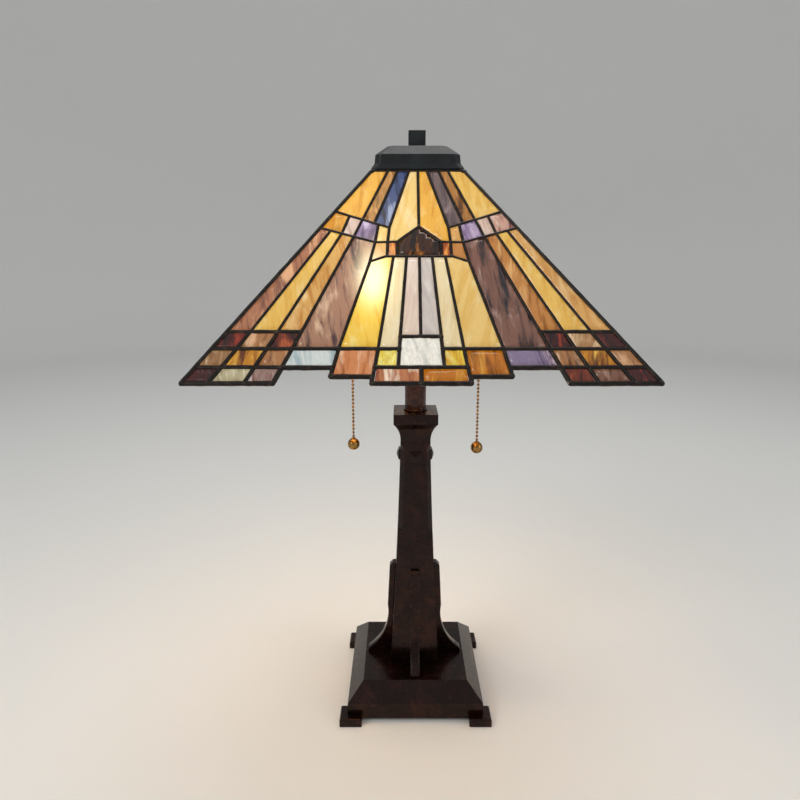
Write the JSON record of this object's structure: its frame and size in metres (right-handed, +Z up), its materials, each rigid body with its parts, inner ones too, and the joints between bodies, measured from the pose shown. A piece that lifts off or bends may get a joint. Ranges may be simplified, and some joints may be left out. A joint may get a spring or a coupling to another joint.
{
  "type": "stained glass table lamp",
  "caption": "Table lamp with a four-sided leaded glass shade on a tapered square column, hipped square base and bead pull chains.",
  "frame": {"origin": "centre of the footprint, on the surface that the feet stand on", "axes": "+Z up along the stem; -Y is the front, so +X is the viewer's right"},
  "size_m": [0.401, 0.401, 0.6527],
  "materials": {
    "glass_honey": "streaky opalescent sheet glass",
    "glass_caramel": "streaky opalescent sheet glass",
    "glass_blue": "streaky opalescent sheet glass",
    "glass_violet": "streaky opalescent sheet glass",
    "glass_rose": "streaky opalescent sheet glass",
    "glass_golden": "streaky opalescent sheet glass",
    "glass_taupe": "streaky opalescent sheet glass",
    "glass_cream": "streaky opalescent sheet glass",
    "glass_white": "streaky opalescent sheet glass",
    "glass_amber": "streaky opalescent sheet glass",
    "glass_ruby": "streaky opalescent sheet glass",
    "glass_brown": "streaky opalescent sheet glass",
    "dark_bronze": "semi-gloss dark brown bronze patina",
    "black_patina": "satin near-black patina",
    "solder": "dark patinated solder",
    "mottled_bronze": "mottled red-brown patina",
    "antique_brass": "antique brass",
    "socket_brass": "satin brass",
    "zinc_steel": "zinc plated",
    "phenolic": "moulded phenolic",
    "plate_black": "matt black plate",
    "bulb_white": "frosted white envelope on a metal screw base"
  },
  "bodies": {
    "root": {"base_casting": "dark_bronze", "base_cover_plate": "plate_black", "buttress_front": "dark_bronze", "buttress_left": "dark_bronze", "buttress_rear": "dark_bronze", "buttress_right": "dark_bronze", "chain_guide_left": "antique_brass", "chain_guide_right": "antique_brass", "cluster_body": "socket_brass", "column": "dark_bronze", "column_pegs": "dark_bronze", "cord_bushing": "phenolic", "foot_front_left": "dark_bronze", "foot_front_right": "dark_bronze", "foot_rear_left": "dark_bronze", "foot_rear_right": "dark_bronze", "foot_screws": "zinc_steel", "lamp_pipe": "zinc_steel", "pipe_nut": "zinc_steel", "pipe_washer": "zinc_steel", "riser_rod": "zinc_steel", "screw_shell_left": "socket_brass", "screw_shell_right": "socket_brass", "shade_rest": "zinc_steel", "socket_arm_left": "zinc_steel", "socket_arm_right": "zinc_steel", "socket_cap_left": "socket_brass", "socket_cap_right": "socket_brass", "socket_shell_left": "socket_brass", "socket_shell_right": "socket_brass", "stem_collar": "dark_bronze", "stem_tube": "mottled_bronze", "switch_block_left": "phenolic", "switch_block_right": "phenolic"},
    "shade": {"glass_amber": "glass_amber", "glass_blue": "glass_blue", "glass_brown": "glass_brown", "glass_caramel": "glass_caramel", "glass_cream": "glass_cream", "glass_golden": "glass_golden", "glass_honey": "glass_honey", "glass_rose": "glass_rose", "glass_ruby": "glass_ruby", "glass_taupe": "glass_taupe", "glass_violet": "glass_violet", "glass_white": "glass_white", "lattice_front": "solder", "lattice_left": "solder", "lattice_rear": "solder", "lattice_right": "solder", "shade_cap": "black_patina"},
    "finial": {"finial": "black_patina"},
    "bulb_left": {"bulb_left": "bulb_white"},
    "bulb_right": {"bulb_right": "bulb_white"},
    "pull_left": {"chain_top_left": "antique_brass"},
    "hang_left": {"chain_drop_left": "antique_brass", "chain_ball_left": "antique_brass"},
    "pull_right": {"chain_top_right": "antique_brass"},
    "hang_right": {"chain_drop_right": "antique_brass", "chain_ball_right": "antique_brass"}
  },
  "joints": [
    {"name": "shade_turn", "type": "hinge", "parent": "root", "child": "shade", "pos_m": [0, 0, 0.6], "axis": [0, 0, 1], "continuous": true},
    {"name": "finial_turn", "type": "hinge", "parent": "root", "child": "finial", "pos_m": [0, 0, 0.64], "axis": [0, 0, 1], "continuous": true},
    {"name": "bulb_left_turn", "type": "hinge", "parent": "root", "child": "bulb_left", "pos_m": [-0.042, 0, 0.45], "axis": [0, 0, 1], "continuous": true},
    {"name": "pull_left_slide", "type": "slide", "parent": "root", "child": "pull_left", "axis": [0, 0, -1], "range_m": [0, 0.01], "stiffness_N_per_m": 150, "springref_m": -0.004},
    {"name": "pull_left_swing", "type": "hinge", "parent": "pull_left", "child": "hang_left", "pos_m": [-0.072, 0, 0.40547], "axis": [0, 1, 0], "range_deg": [-15, 15]},
    {"name": "bulb_right_turn", "type": "hinge", "parent": "root", "child": "bulb_right", "pos_m": [0.042, 0, 0.45], "axis": [0, 0, 1], "continuous": true},
    {"name": "pull_right_slide", "type": "slide", "parent": "root", "child": "pull_right", "axis": [0, 0, -1], "range_m": [0, 0.01], "stiffness_N_per_m": 150, "springref_m": -0.004},
    {"name": "pull_right_swing", "type": "hinge", "parent": "pull_right", "child": "hang_right", "pos_m": [0.072, 0, 0.40547], "axis": [0, 1, 0], "range_deg": [-15, 15]}
  ]
}
